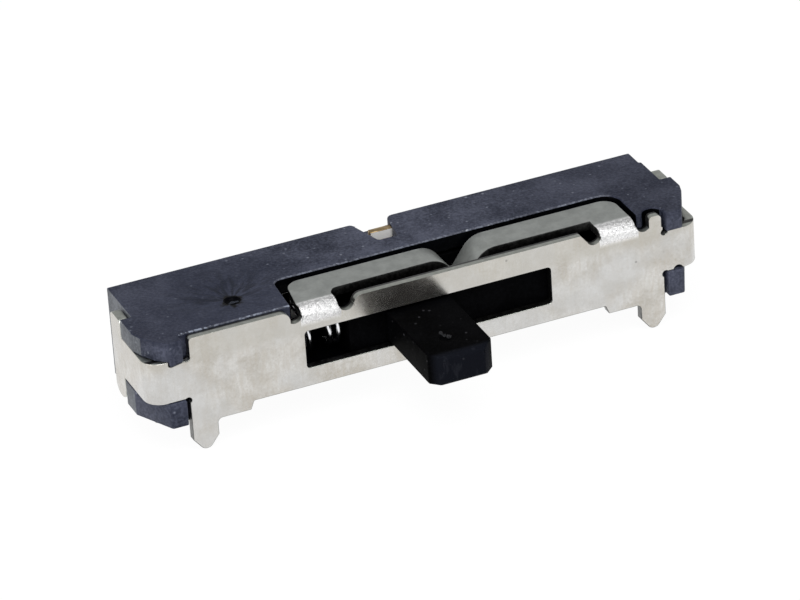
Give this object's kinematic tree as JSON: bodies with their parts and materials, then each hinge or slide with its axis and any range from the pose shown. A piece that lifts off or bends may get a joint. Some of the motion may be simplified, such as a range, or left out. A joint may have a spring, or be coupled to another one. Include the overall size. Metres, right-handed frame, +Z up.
{
  "type": "slide switch",
  "caption": "Low surface-mount slide switch with a side knob, a folded sheet-metal cover, a click leaf and a return spring.",
  "frame": {"origin": "on the circuit board's surface, under the middle of the housing's length, midway along it between the two locating pegs and 1.15 mm behind the cover's front face", "axes": "+X along the slider's travel, to the right seen from the knob's side; +Y to the back, away from the knob; +Z up from the board"},
  "size_m": [0.0094, 0.0044, 0.0021],
  "materials": {
    "housing": "fine matte moulding",
    "cover": "satin plated sheet",
    "slider": "satin moulding",
    "spring": "bright drawn wire",
    "contact": "plated strip",
    "terminal": "silver-plated strip"
  },
  "bodies": {
    "switch_body": {"housing": "housing", "cover": "cover", "return_spring": "spring", "common_terminal": "terminal", "left_terminal": "terminal", "middle_terminal": "terminal", "right_terminal": "terminal"},
    "slider_body": {"slider": "slider", "moving_contact": "contact"}
  },
  "joints": [
    {"name": "slider_slide", "type": "slide", "parent": "switch_body", "child": "slider_body", "axis": [1, 0, 0], "range_m": [-0.00138, 0.00162], "stiffness_N_per_m": 165, "springref_m": 0.00162, "deforming": ["return_spring"]}
  ]
}
